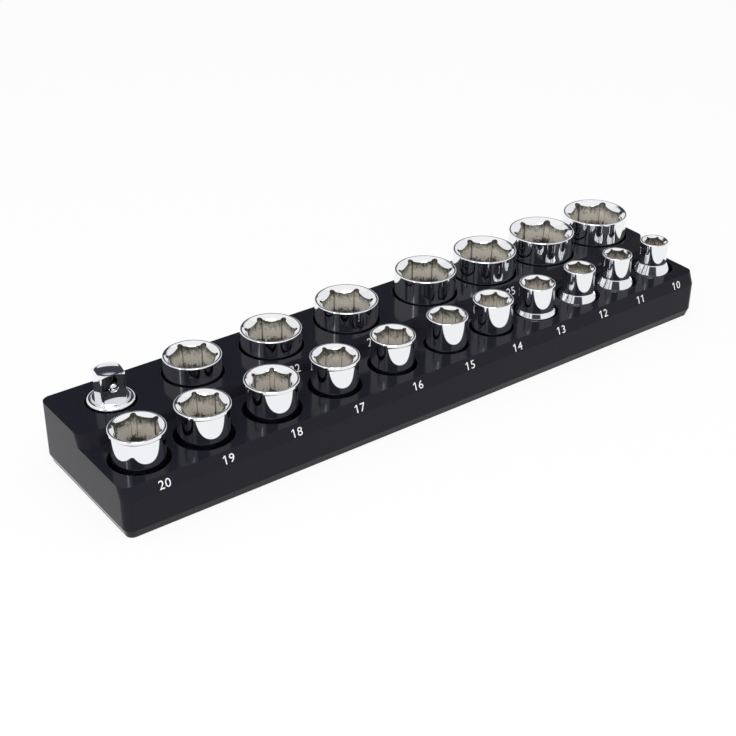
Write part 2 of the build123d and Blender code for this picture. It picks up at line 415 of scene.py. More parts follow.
class Board:
    """The node tree of a material or the world, built node by node."""

    def __init__(self, owner):
        owner.use_nodes = True
        self.tree = owner.node_tree
        self.tree.nodes.clear()

    def node(self, kind, settings=None, inputs=None, output=0):
        """Add a node, set it, feed its sockets with values or wires, and return one of its outputs."""
        node = self.tree.nodes.new(kind)
        for key, value in (settings or {}).items():
            if key == "stops":
                self.set_stops(node.color_ramp, value)
            else:
                setattr(node, key, value)
        for key, value in (inputs or {}).items():
            if isinstance(value, Wire):
                self.tree.links.new(value.output, node.inputs[key])
            else:
                node.inputs[key].default_value = value
        return Wire(self, node.outputs[output]) if node.outputs else None

    @staticmethod
    def set_stops(ramp, stops):
        """Set a ramp's stops from (position, colour) pairs."""
        while len(ramp.elements) < len(stops):
            ramp.elements.new(1.0)
        for element, (position, colour) in zip(ramp.elements, stops):
            element.position = position
            element.color = colour if len(colour) == 4 else (*colour, 1.0)

    def noise(self, scale, detail=3.0, stretch=(1, 1, 1), rough=0.5):
        """Noise over the object's own coordinates, stretched along an axis."""
        place = self.node("ShaderNodeTexCoord", output="Object")
        place = self.node("ShaderNodeMapping", inputs={"Vector": place, "Scale": stretch})
        return self.node(
            "ShaderNodeTexNoise", inputs={"Vector": place, "Scale": scale, "Detail": detail, "Roughness": rough}
        )

    def ramp(self, factor, stops):
        return self.node("ShaderNodeValToRGB", {"stops": stops}, {"Fac": factor})

    def bump(self, height, strength, distance):
        inputs = {"Height": height, "Strength": strength, "Distance": distance * MM}
        return self.node("ShaderNodeBump", inputs=inputs, output="Normal")

    def surface(self, **inputs):
        """Finish with a Principled shader and its output."""
        named = {key.replace("_", " "): value for key, value in inputs.items()}
        shader = self.node("ShaderNodeBsdfPrincipled", inputs=named)
        self.node("ShaderNodeOutputMaterial", inputs={"Surface": shader})


def new_board(name):
    """A new material and its board."""
    material = bpy.data.materials.new(name)
    return material, Board(material)


def gloss_black(looks):
    """Polished black moulding: a faint ripple from the mould and a trace of dust in its gloss."""
    material, board = new_board("gloss_black_moulding")
    ripple = board.noise(scale=38.0, detail=2.0)
    grain = board.noise(scale=2600.0, detail=2.0)
    haze = board.noise(scale=55.0, detail=4.0)
    roughness = looks.gloss + haze * 0.05
    height = ripple + grain * 0.004
    board.surface(
        Base_Color=(*looks.plastic, 1.0),
        Roughness=roughness,
        IOR=1.2,
        Normal=board.bump(height, strength=0.25, distance=0.06),
    )
    return material


def matt_black(looks):
    """Fine-grained black sheet of the base."""
    material, board = new_board("matt_black_sheet")
    grain = board.noise(scale=1500.0, detail=3.0)
    board.surface(
        Base_Color=board.ramp(grain, [(0.3, (0.010, 0.010, 0.011)), (0.75, (0.022, 0.022, 0.023))]),
        Roughness=0.5 + grain * 0.25,
        Normal=board.bump(grain, strength=0.4, distance=0.05),
    )
    return material


def chrome(looks):
    """Bright chrome plate with the faintest unevenness from polishing."""
    material, board = new_board("chrome_plate")
    wave = board.noise(scale=120.0, detail=2.0)
    wear = board.noise(scale=700.0, detail=4.0, stretch=(1, 1, 0.25))
    board.surface(
        Base_Color=(*looks.chrome, 1.0),
        Metallic=1.0,
        Roughness=looks.chrome_polish + wear * 0.03,
        Normal=board.bump(wave, strength=0.12, distance=0.03),
    )
    return material


def satin_nickel(looks):
    """The duller nickel inside the openings, drawn lengthwise by the broach, with painted shade near the mouth, near
    the floor and along the corner grooves' sides.
    """
    material, board = new_board("satin_nickel_bore")
    drawn = board.noise(scale=900.0, detail=4.0, stretch=(1, 1, 0.06), rough=0.6)
    blotch = board.noise(scale=170.0, detail=4.0, stretch=(1, 1, 0.7))
    mottle = board.noise(scale=800.0, detail=5.0, stretch=(1, 1, 0.8), rough=0.65)
    depth = board.node("ShaderNodeAttribute", {"attribute_name": DEPTH_NOTE}, output="Fac")
    # Painted shade: by depth, the wall is darkened near the mouth and near the floor, with the nickel's full colour
    # between and mottled edges
    shade = depth + (mottle - 0.5) * 0.8 + (drawn - 0.5) * 0.2 + (blotch - 0.5) * 0.3
    wall = board.ramp(shade, [(0.18, BORE_PAINTED_SHADE), (0.52, looks.nickel), (0.8, looks.nickel), (0.98, BORE_PAINTED_SHADE)])
    # Painted shade along the sides of the corner grooves, darkest at their ridges, with their bottoms left bright
    groove = board.node("ShaderNodeAttribute", {"attribute_name": GROOVE_NOTE}, output="Fac")
    painted_groove_shade = board.ramp(groove, GROOVE_PAINTED_SHADE_STOPS)
    board.surface(
        Base_Color=board.node("ShaderNodeVectorMath", {"operation": "MULTIPLY"}, {0: wall, 1: painted_groove_shade}),
        Metallic=0.3,
        Roughness=0.26 + blotch * 0.16,
        Normal=board.bump(drawn, strength=0.35, distance=0.04),
    )
    return material


def hazed_metal(name, scale, detail, shade, polish, spread):
    """Metal with a fine haze in its polish, and in its colour too where that is given as a ramp's stops."""
    material, board = new_board(name)
    haze = board.noise(scale, detail)
    if isinstance(shade, list):
        shade = board.ramp(haze, shade)
    board.surface(Base_Color=shade, Metallic=1.0, Roughness=polish + haze * spread)
    return material


def digit_paint(looks):
    """White pad print."""
    material, board = new_board("digit_paint")
    grain = board.noise(scale=2200.0, detail=3.0)
    board.surface(
        Base_Color=board.ramp(grain, [(0.25, tuple(0.9 * c for c in looks.paint)), (0.7, looks.paint)]),
        Roughness=0.45 + grain * 0.15,
    )
    return material


FINISHES = {
    "gloss_black": gloss_black,
    "matt_black": matt_black,
    "chrome": chrome,
    "nickel": satin_nickel,
    "digit_paint": digit_paint,
}
# Material's name, scale and detail of its haze, colour, least roughness, and what the haze adds to it
HAZED_METALS = {
    "ball_steel": ("ball_steel", 1600.0, 3.0, (0.72, 0.72, 0.73, 1.0), 0.05, 0.05),
    "spring_steel": ("spring_wire", 3000.0, 3.0, (0.32, 0.32, 0.34, 1.0), 0.25, 0.2),
    "magnet": ("magnet_nickel", 400.0, 4.0, [(0.3, (0.42, 0.41, 0.39)), (0.7, (0.6, 0.59, 0.56))], 0.22, 0.2),
    "screw_steel": ("black_oxide", 1800.0, 4.0, [(0.3, (0.02, 0.02, 0.022)), (0.75, (0.06, 0.06, 0.065))], 0.35, 0.2),
}
made_finishes = {}


def finish(name):
    """The material of a finish, made the first time that it is asked for."""
    if name in HAZED_METALS and name not in made_finishes:
        made_finishes[name] = hazed_metal(*HAZED_METALS[name])
    elif name not in made_finishes:
        made_finishes[name] = FINISHES[name](bpy.context.scene.tray_looks)
    return made_finishes[name]


def dress(piece, *finishes):
    """Give a piece its materials in order."""
    piece.data.materials.clear()
    for name in finishes:
        piece.data.materials.append(finish(name))


def dress_node(node, name):
    """Give a carried-over node its material."""
    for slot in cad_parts[node].material_slots:
        slot.material = finish(name)


# Sizes and colours that a user would change


def length(name, description, default):
    return FloatProperty(name=name, description=description, default=default, unit="LENGTH")


def angle(name, description, turn):
    return FloatProperty(name=name, description=description, default=radians(turn), unit="ROTATION")


def share(name, description, default):
    return FloatProperty(name=name, description=description, default=default, min=0, max=1)


def colour(name, description, default):
    return FloatVectorProperty(name=name, description=description, subtype="COLOR", default=default)


class TraySizes(bpy.types.PropertyGroup):
    corner_radius: length("Corner radius", "Rounding of the upright corners", 0.005)
    corner_steps: IntProperty(name="Corner steps", description="Faces round each corner", default=16, min=4)
    skirt_height: length("Skirt height", "Where the walls start to draw in", 0.0045)
    skirt_inset: length("Skirt inset", "How far the walls draw in at the foot", 0.0013)
    wall_top: length("Wall top", "Height at which the front leans back", 0.020)
    front_deck: length("Front deck", "Height of the lower tier", 0.0266)
    slope_run: length("Front slope", "How far the numbered slope leans back", 0.0027)
    riser_foot: length("Riser foot", "Place of the riser's foot across the tray", -0.00185)
    riser_run: length("Riser lean", "How far the riser leans back", 0.0028)
    front_clearance: length("Front clearance", "Gap round each front socket", 0.0012)
    rear_clearance: length("Rear clearance", "Gap round each rear socket", 0.001)
    edge_rounding: length("Edge rounding", "Rounding of the moulding's outer edges", 0.0007)
    pocket_rounding: length("Pocket rounding", "Rounding of the pockets' edges", 0.0003)
    digit_height: length("Digit height", "Height of the size numbers", 0.0041)


class SocketSizes(bpy.types.PropertyGroup):
    rim_radius: length("Rim radius", "Radius of the round lip of the mouth", 0.00055)
    heel_rounding: length("Heel rounding", "Rounding of the foot's edge", 0.0006)
    rim_width: length("Rim width", "Width of the lip and the level ring inside it", 0.00095)
    mouth_radius: length("Mouth radius", "Radius at which the lead-in steepens", 0.012)
    mouth_edge: length("Mouth edge", "Rounding between the rim and the lead-in", 0.0005)
    lead_in_slope: angle("Lead-in slope", "Slope of the lead-in at the rim", 24)
    mouth_bend: angle("Mouth bend", "Steepest slope of the lead-in", 50)
    taper_height: length("Taper height", "Height of the taper under the mouth", 0.0036)
    flare_slope: angle("Flare slope", "Slope of the small sockets' flare", 60)
    flare_rounding: length("Flare rounding", "Rounding at both ends of the flare", 0.0012)
    bead_underside: length("Bead underside", "Height of the hollow under the mouth's bead", 0.0011)
    drive_square: length("Drive square", "Size of the square across its flats", 0.01285)
    drive_depth: length("Drive depth", "Depth of the square from the foot", 0.016)
    groove_radius: FloatProperty(
        name="Groove radius", description="Radius of the corner grooves, as a share of the hexagon", default=0.075
    )
    groove_reach: FloatProperty(
        name="Groove reach", description="How far they pass the corners, as a share of the hexagon", default=0.028
    )
    groove_wall: length("Groove wall", "Least wall left behind a groove", 0.0005)
    steps: IntProperty(name="Steps", description="Faces round each socket", default=128, min=48)


class AdaptorSizes(bpy.types.PropertyGroup):
    turn: angle("Turn", "Turn of the squares", -8)
    body_height: length("Body height", "Height of the round body", 0.021)
    edge: length("Body edge", "Rounding of the body's top edge", 0.0012)
    collar_diameter: length("Collar diameter", "Raised ring under the square", 0.0184)
    collar_height: length("Collar height", "Height of the ring", 0.0008)
    square: length("Square", "Driving square across its flats", 0.0126)
    corner_radius: length("Corner radius", "Rounding of the square's corners", 0.0013)
    top_diameter: length("Top diameter", "Flat round end of the square", 0.0117)
    top_chamfer: length("Top chamfer", "Height of the cone at the end", 0.0024)
    female_square: length("Lower square", "Square hole across its flats", 0.0096)
    female_depth: length("Lower depth", "Depth of the square hole", 0.0115)
    ball_diameter: length("Ball", "Diameter of the detent ball", 0.0039)
    ball_reach: length("Ball reach", "How far the ball stands out of the square", 0.0009)


class TrayLooks(bpy.types.PropertyGroup):
    plastic: colour("Moulding", "Colour of the moulding", (0.011, 0.011, 0.016))
    gloss: share("Moulding roughness", "Roughness of the moulding", 0.09)
    chrome: colour("Chrome", "Colour of the chrome plate", (0.86, 0.87, 0.89))
    chrome_polish: share("Chrome roughness", "Roughness of the chrome plate", 0.03)
    nickel: colour("Nickel", "Colour inside the openings", (0.96, 0.90, 0.80))
    paint: colour("Digits", "Colour of the size numbers", (0.85, 0.85, 0.85))


class StudioLooks(bpy.types.PropertyGroup):
    floor: colour("Floor", "Colour of the floor", (0.75, 0.75, 0.75))
    floor_glow: share("Floor glow", "How white the floor looks by itself", 0.88)


# Tray


def slab(name, outline_from, outline_to, bottom, radius, steps):
    """A flat plate with rounded corners, from which a tier of the tray is drawn up."""
    at_rest()
    middle = ((outline_from[0] + outline_to[0]) / 2, (outline_from[1] + outline_to[1]) / 2, bottom)
    bpy.ops.mesh.primitive_plane_add(size=MM, location=Vector(middle) * MM)
    bpy.ops.transform.resize(value=(outline_to[0] - outline_from[0], outline_to[1] - outline_from[1], 1))
    bake_place()
    piece = name_piece(name)
    edit_all()
    bpy.ops.mesh.bevel(offset=radius * MM, segments=steps, affect="VERTICES")
    leave_edit()
    return piece


def draw_up(piece, height, lean, front):
    """Extrude the topmost face upwards and lean its front edge back."""
    top = max(vertex.co.z for vertex in piece.data.vertices) / MM
    choose(piece, lambda co, normal: abs(co.z - top) < SAME_HEIGHT and abs(normal.z) > LEVEL)
    bpy.ops.mesh.extrude_region_move(TRANSFORM_OT_translate={"value": (0, 0, height * MM)})
    if lean:
        choose(piece, lambda co, normal: co.z > top + SAME_HEIGHT and co.y < front, "VERT")
        bpy.ops.transform.translate(value=(0, lean * MM, 0))
    leave_edit()


def make_tier(name, front, bottom, rises, radius, steps, skirt=None):
    """One tier of the tray: a rounded plate drawn up in stages, each a height and a lean of its front."""
    piece = slab(name, (TRAY.low.x, front), (TRAY.high.x, TRAY.high.y), bottom, radius, steps)
    for height, lean in rises:
        draw_up(piece, height, lean, front + 2 * radius)
    tidy_mesh(piece)
    if skirt:
        depth, inset = skirt
        choose(piece, lambda co, normal: abs(co.z - bottom) < SAME_HEIGHT and normal.z < -LEVEL)
        bpy.ops.mesh.inset(thickness=inset * MM, depth=depth * MM, use_even_offset=True)
        leave_edit()
    return piece


def merge_flats(piece):
    """Merge the level and straight faces that a cut has split."""
    tidy_mesh(piece)
    edit_all()
    bpy.ops.mesh.dissolve_limited(angle_limit=radians(0.5))
    leave_edit()


def pocket_radius(size, box, sizes):
    """The radius of the pocket round a socket or the adaptor."""
    return box.size.x / 2 + (sizes.front_clearance if size in FRONT_SIZES else sizes.rear_clearance) / MM


def on_pocket_edge(spot, way, decks, sizes):
    """Whether an edge's middle lies on the top edge of a pocket."""
    if abs(way.z) > POCKET_MATCH or min(abs(spot.z - deck) for deck in decks) > DECK_MATCH:
        return False
    return any(
        abs((Vector(spot.xy) - Vector(box.middle.xy)).length - pocket_radius(size, box, sizes)) < POCKET_MATCH
        for size, box in POCKETS.items()
    )


def build_tray(sizes):
    """The tray: two tiers in one moulding, with a round pocket for each socket."""
    radius = sizes.corner_radius / MM
    skirt_height = sizes.skirt_height / MM
    wall_top = sizes.wall_top / MM
    deck = sizes.front_deck / MM
    foot = sizes.riser_foot / MM
    lower = make_tier(
        "tray_moulding",
        TRAY.low.y,
        skirt_height,
        [(wall_top - skirt_height, 0), (deck - wall_top, sizes.slope_run / MM)],
        radius,
        sizes.corner_steps,
        (skirt_height - TRAY.low.z, sizes.skirt_inset / MM),
    )
    upper = make_tier(
        "tray_upper_tier",
        foot,
        wall_top,
        [(deck - wall_top, 0), (TRAY.high.z - deck, sizes.riser_run / MM)],
        radius,
        sizes.corner_steps,
    )
    tray = combine(lower, upper, "UNION")
    merge_flats(tray)
    ease_edges(tray, sizes.edge_rounding / MM, angle=10.0, segments=4)
    over = TRAY.high.z + 5 * CUT_PAST
    cutters = [
        post(f"pocket_{size}", pocket_radius(size, box, sizes), box.low.z, over, box.middle)
        for size, box in POCKETS.items()
    ]
    combine(tray, join(cutters))
    merge_flats(tray)
    choose(tray, lambda co, way: on_pocket_edge(co, way, (deck, TRAY.high.z), sizes), "EDGE")
    bevel_chosen(sizes.pocket_rounding, 3)
    return tray


def slope_place(low, high, share):
    """A point on a slope between its foot and its top, as (y, z)."""
    return low[0] + (high[0] - low[0]) * share, low[1] + (high[1] - low[1]) * share


def build_digit(letter, sizes):
    """One printed digit, flat and centred; a one gets the flag that the plain font lacks."""
    at_rest()
    bpy.ops.object.text_add(radius=sizes.digit_height / DIGIT_CAP_SHARE)
    glyph = bpy.context.active_object
    glyph.data.body = letter
    glyph.data.extrude = DIGIT_THICKNESS * MM
    glyph.data.offset = -DIGIT_THINNING * MM
    glyph.data.resolution_u = 6
    bpy.ops.object.convert(target="MESH")
    glyph = name_piece(f"digit_{letter}")
    tidy_mesh(glyph)
    corners = [vertex.co for vertex in glyph.data.vertices]
    left, right = min(c.x for c in corners), max(c.x for c in corners)
    bottom, top = min(c.y for c in corners), max(c.y for c in corners)
    grow = sizes.digit_height / (top - bottom)
    glyph.scale = (grow * DIGIT_WIDENING, grow, 1)
    glyph.location = (-(left + right) / 2 * grow * DIGIT_WIDENING, -(top + bottom) / 2 * grow, 0)
    bake_place()
    if letter == "1":
        stem = -(right - left) / 2 * grow * DIGIT_WIDENING / MM
        cap = sizes.digit_height / 2 / MM
        bpy.ops.mesh.primitive_cube_add(
            size=MM,
            location=Vector((stem - FLAG_LENGTH * FLAG_SHIFT, cap - FLAG_LENGTH * FLAG_DROP, 0)) * MM,
            rotation=(0, 0, radians(FLAG_TURN)),
            scale=(FLAG_LENGTH, FLAG_WIDTH, 2 * DIGIT_THICKNESS),
        )
        bake_place()
        combine(glyph, name_piece("flag"), "UNION")
    return glyph


def build_digits(sizes):
    """The printed size numbers: eleven on the front slope and seven on the riser."""
    deck = sizes.front_deck / MM
    front_low = (TRAY.low.y, sizes.wall_top / MM)
    front_high = (TRAY.low.y + sizes.slope_run / MM, deck)
    foot = sizes.riser_foot / MM
    rear_high = (foot + sizes.riser_run / MM, TRAY.high.z)
    models = {letter: build_digit(letter, sizes) for letter in "0123456789"}
    made = []
    for row, low, high, shift in (
        (FRONT_SIZES, front_low, front_high, FRONT_DIGIT_SHIFT),
        (REAR_SIZES, (foot, deck), rear_high, REAR_DIGIT_SHIFT),
    ):
        y, z = slope_place(low, high, DIGIT_SHARE)
        tilt = atan2(high[1] - low[1], high[0] - low[0])
        lift = Vector((0, -sin(tilt), cos(tilt))) * DIGIT_THICKNESS
        for size in row:
            letters = str(size)
            middle = (len(letters) - 1) / 2
            glyphs = []
            for i, letter in enumerate(letters):
                glyph = copy_of(models[letter])
                bpy.ops.transform.translate(value=((i - middle) * DIGIT_PITCH * MM, 0, 0))
                bake_place()
                glyphs.append(glyph)
            words = join(glyphs)
            words.name = f"digits_{size}"
            spot = Vector((SOCKET_BOXES[size].middle.x + shift.get(size, shift[0]), y, z)) + lift * 0.5
            words.rotation_euler = (tilt, 0, 0)
            words.location = spot * MM
            bake_place()
            made.append(words)
    for model in models.values():
        bpy.data.objects.remove(model, do_unlink=True)
    return made


# Sockets


def socket_profile(size, sizes, box):
    """A socket in profile, from the middle of its foot up the outside and down into the mouth."""
    mouth = MOUTH_DIAMETER[size] / 2
    heel = HEEL_DIAMETER.get(size, MOUTH_DIAMETER[size]) / 2
    neck = NECK_HEIGHT.get(size, 0)
    taper = sizes.taper_height / MM
    top = box.high.z
    low = box.low.z
    foot = sizes.heel_rounding / MM
    lip = sizes.rim_radius / MM
    profile = [(0, low)]
    profile += arc((heel - foot, low + foot), foot, -90, 0, FOOT_STEPS)
    if size in FLARED:
        slope = sizes.flare_slope
        rounding = sizes.flare_rounding / MM
        lean = pi / 2 - slope
        straight = heel - mouth - 2 * rounding * (1 - cos(lean))
        rise = straight * tan(slope) + 2 * rounding * sin(lean)
        neck_foot = top - neck - taper / 2 + rise / 2
        profile += arc((heel - rounding, neck_foot - rise), rounding, 0, degrees(lean), FLARE_STEPS)
        profile += arc((mouth + rounding, neck_foot), rounding, 180 + degrees(lean), 180, FLARE_STEPS)
    elif neck:
        fall = sizes.bead_underside / MM
        under = top - neck - fall
        for i in range(BEAD_STEPS + 1):
            turn = radians(90 * i / BEAD_STEPS)
            profile.append((heel + (mouth - heel) * (1 - cos(turn)), under + fall * sin(turn)))
    profile += arc((mouth - lip, top - lip), lip, 0, 90, LIP_STEPS)
    edge = sizes.mouth_edge / MM
    first = 90 + degrees(sizes.lead_in_slope)
    profile += arc((mouth - sizes.rim_width / MM, top - edge), edge, 90, first, EDGE_STEPS)
    radius, height = profile.pop()
    bend = sizes.mouth_radius / MM
    middle = (radius - bend * cos(radians(first)), height - bend * sin(radians(first)))
    profile += arc(middle, bend, first, 90 + degrees(sizes.mouth_bend), MOUTH_STEPS)
    radius, height = profile[-1]
    profile.append((0, height - radius * tan(sizes.mouth_bend)))
    return profile


def groove_place(size, sizes):
    """The radius of a corner groove, and its axis's distance from the socket's axis."""
    radius = sizes.groove_radius * size
    corner = size / 2 / cos(radians(30)) + sizes.groove_reach * size
    wall = min(MOUTH_DIAMETER[size], HEEL_DIAMETER.get(size, MOUTH_DIAMETER[size])) / 2 - sizes.groove_wall / MM
    return radius, min(corner, wall) - radius


def build_socket(size, sizes):
    """One socket: turned outside, a hexagon with grooved corners above and a square below."""
    box = SOCKET_BOXES[size]
    place = (box.middle.x, box.middle.y)
    turn = HEX_TURN[size]
    floor = box.low.z + sizes.drive_depth / MM
    over = box.high.z + 2 * CUT_PAST
    piece = turn_on_lathe(f"socket_{size}_chrome", socket_profile(size, sizes, box), place, sizes.steps)
    hexagon = prism("hexagon", 6, size, floor, over, place, turn)
    radius, reach = groove_place(size, sizes)
    way = radians(turn)
    spot = (place[0] + reach * cos(way), place[1] + reach * sin(way))
    groove = post("groove", radius, floor + GROOVE_STEP, over + GROOVE_STEP, spot, 32)
    for _ in range(6):
        following = copy_of(groove)
        bpy.ops.transform.rotate(value=radians(60), orient_axis="Z", center_override=(place[0] * MM, place[1] * MM, 0))
        bpy.ops.transform.translate(value=(0, 0, GROOVE_STEP * MM))
        combine(hexagon, groove, "UNION")
        groove = following
    bpy.data.objects.remove(groove, do_unlink=True)
    combine(piece, hexagon)
    square = prism("square", 4, sizes.drive_square / MM, box.low.z - CUT_PAST, floor + CUT_PAST, place, turn + 45)
    combine(piece, square)
    tidy_mesh(piece)
    return piece


def note_grooves(piece, place, size, sizes):
    """Note on each face how far round a corner groove it lies: 1 at its bottom, small at its ridges, 0 outside."""
    radius, reach = groove_place(size, sizes)
    notes = piece.data.attributes.new(GROOVE_NOTE, "FLOAT", "FACE")
    for face in piece.data.polygons:
        spot = face.center.xy / MM - place.xy
        turn = 60 * round((degrees(atan2(spot.y, spot.x)) - HEX_TURN[size]) / 60) + HEX_TURN[size]
        way = Vector((cos(radians(turn)), sin(radians(turn))))
        across = spot - way * reach
        if abs(face.normal.z) < UPRIGHT and abs(across.length - radius) < GROOVE_MATCH:
            notes.data[face.index].value = max(GROOVE_LEAST, across.normalized().dot(way))


def paint_bore(piece, place, throat, top, low):
    """Give the faces inside a bore the second finish, and note each point's depth under the mouth."""
    depths = piece.data.attributes.new(DEPTH_NOTE, "FLOAT", "POINT")
    depths.data.foreach_set("value", [(top - vertex.co.z / MM) / DEPTH_SPAN for vertex in piece.data.vertices])
    for face in piece.data.polygons:
        spot = face.center / MM
        out = Vector((spot.x - place[0], spot.y - place[1], 0))
        inward = out.length > 0.1 and face.normal.dot(out.normalized()) < INWARD and abs(face.normal.z) < UPRIGHT
        ledge = face.normal.z > LEVEL and low + LEDGE_FROM_FOOT < spot.z < top - LEDGE_FROM_TOP
        if (inward or ledge) and out.length < throat:
            face.material_index = 1


# Drive adaptor


def build_adaptor(sizes):
    """The drive adaptor: a round body, a raised ring and the driving square with its ball seat."""
    box = ADAPTOR
    place = (box.middle.x, box.middle.y)
    low = box.low.z
    turn = degrees(sizes.turn)
    body = low + sizes.body_height / MM
    radius = box.size.x / 2
    edge = sizes.edge / MM
    ring = sizes.collar_diameter / 2 / MM
    shoulder = body + sizes.collar_height / MM
    top = box.high.z
    half = sizes.square / 2 / MM
    profile = [(0, low)]
    profile += arc((radius - BODY_FOOT, low + BODY_FOOT), BODY_FOOT, -90, 0, FOOT_STEPS)
    profile += arc((radius - edge, body - edge), edge, 0, 90, BODY_STEPS)
    profile += [(ring + out, body - down) for out, down in COLLAR_MOAT]
    profile += arc((ring - COLLAR_EDGE, shoulder - COLLAR_EDGE), COLLAR_EDGE, 0, 90, COLLAR_STEPS)
    profile += [(half * part, shoulder + rise) for part, rise in SQUARE_FOOT]
    piece = turn_on_lathe("drive_adaptor_chrome", profile, place, 128)

    square = prism("driving_square", 4, 2 * half, shoulder - CUT_PAST, top, place, turn + 45)
    choose(square, lambda co, way: abs(way.z) > LEVEL, "EDGE")
    bevel_chosen(sizes.corner_radius, 8)
    flat = sizes.top_diameter / 2 / MM
    cone = sizes.top_chamfer / MM
    widest = half * sqrt(2)
    # The end is rounded from the square's corners to a low dome
    neck = top - END_DOME - cone
    under = shoulder - 2 * CUT_PAST
    cap = [(0, under), (widest + CUT_PAST, under), (widest + CUT_PAST, neck)]
    for i in range(CONE_STEPS + 1):
        way = radians(90 * i / CONE_STEPS)
        cap.append((flat + (widest - flat) * cos(way), neck + cone * sin(way)))
    for i in range(1, DOME_STEPS + 1):
        share = 1 - i / DOME_STEPS
        cap.append((flat * share, top - END_DOME * share**2))
    mill = turn_on_lathe("square_end", cap, place, 96)
    combine(square, mill, "INTERSECT")
    combine(piece, square, "UNION")

    ball_radius = sizes.ball_diameter / 2 / MM
    centre = half + sizes.ball_reach / MM - ball_radius
    aim = Vector((sin(sizes.turn), -cos(sizes.turn), 0))
    height = Box("detent_ball").middle.z
    axis_point = Vector((*place, height))
    out = half + CUT_PAST
    seat = ball_radius + BALL_CLEARANCE
    combine(piece, place_drill("ball_ring", STAKED_RING, aim, axis_point, half - STAKED_DEPTH, out))
    combine(piece, place_drill("ball_seat", seat, aim, axis_point, centre - SEAT_REACH, out))
    depth = low + sizes.female_depth / MM
    combine(piece, prism("lower_square", 4, sizes.female_square / MM, low - CUT_PAST, depth, place, turn + 45))
    merge_flats(piece)

    def on_ring(spot, way):
        along = (spot - axis_point).dot(aim)
        from_axis = (spot - axis_point - aim * along).length
        return abs(along - half) < RING_MATCH and abs(from_axis - STAKED_RING) < RING_MATCH

    choose(piece, on_ring, "EDGE")
    bevel_chosen(STAKED_EDGE * MM, 3)
    # The square's flats keep sharp borders, so that no rounding beside them shades into them
    side = aim.cross(Vector((0, 0, 1)))
    choose(piece, lambda co, way: co.z > shoulder and max(abs(way.dot(aim)), abs(way.dot(side))) > FLAT_MATCH)
    bpy.ops.mesh.region_to_loop()
    bpy.ops.mesh.mark_sharp()
    leave_edit()
    return piece


def place_drill(name, radius, aim, axis_point, start, end, sides=64):
    """A level round cutter along a direction, from one distance to another."""
    at_rest()
    middle = axis_point + aim * (start + end) / 2
    bpy.ops.mesh.primitive_cylinder_add(
        vertices=sides,
        radius=radius * MM,
        depth=(end - start) * MM,
        location=middle * MM,
        rotation=aim.to_track_quat("Z", "Y").to_euler(),
    )
    bake_place()
    return name_piece(name)


# Stage


def build_floor(looks):
    """A broad pale floor that looks white by itself and still takes the object's shadow."""
    at_rest()
    bpy.ops.mesh.primitive_plane_add(size=FLOOR_SIZE, location=(0, 0, -FLOOR_DROP * MM))
    bake_place()
    piece = name_piece("studio_floor")
    material, board = new_board("studio_floor")
    path = board.node("ShaderNodeLightPath", output="Is Camera Ray")
    mirror = board.node("ShaderNodeLightPath", output="Is Glossy Ray")
    seen = path + mirror
    plain = board.node("ShaderNodeBsdfDiffuse", inputs={"Color": (*looks.floor, 1.0)})
    white = board.node("ShaderNodeEmission", inputs={"Color": (1, 1, 1, 1), "Strength": 1.0})
    mix = board.node("ShaderNodeMixShader", inputs={0: seen * looks.floor_glow, 1: plain, 2: white})
    board.node("ShaderNodeOutputMaterial", inputs={"Surface": mix})
    piece.data.materials.append(material)
    return piece


def light_world():
    """The room in reflections: pale low and side walls, a dark band, a bright ceiling; plain white to the camera."""
    world = bpy.data.worlds.new("studio")
    bpy.context.scene.world = world
    board = Board(world)
    aim = board.node("ShaderNodeTexCoord", output="Generated")
    height = board.node("ShaderNodeSeparateXYZ", inputs={"Vector": aim}, output="Z")
    azimuth = radians(CAMERA_AZIMUTH)
    side = board.node(
        "ShaderNodeVectorMath",
        {"operation": "DOT_PRODUCT"},
        {0: aim, 1: (cos(azimuth), sin(azimuth), 0)},
        output="Value",
    )
    beside = board.node("ShaderNodeMath", {"operation": "ABSOLUTE"}, {0: side})
    walls = board.ramp(beside, SIDE_STOPS)
    glow = board.node("ShaderNodeVectorMath", {"operation": "MAXIMUM"}, {0: board.ramp(height, SKY_STOPS), 1: walls})
    room = board.node("ShaderNodeBackground", inputs={"Color": glow, "Strength": 1.0})
    white = board.node("ShaderNodeBackground", inputs={"Color": (1, 1, 1, 1), "Strength": 1.0})
    seen = board.node("ShaderNodeLightPath", output="Is Camera Ray")
    mix = board.node("ShaderNodeMixShader", inputs={0: seen, 1: room, 2: white})
    board.node("ShaderNodeOutputWorld", inputs={"Surface": mix})


def add_softbox(name, place, aim, width, height, power):
    """A soft panel light, aimed at a point of the object."""
    at_rest()
    spot = Vector(place)
    turn = (Vector(aim) - spot).to_track_quat("-Z", "Y").to_euler()
    bpy.ops.object.light_add(type="AREA", location=spot, rotation=turn)
    lamp = bpy.context.active_object
    lamp.name = name
    lamp.data.shape = "RECTANGLE"
    lamp.data.size = width
    lamp.data.size_y = height
    lamp.data.energy = power
    return lamp


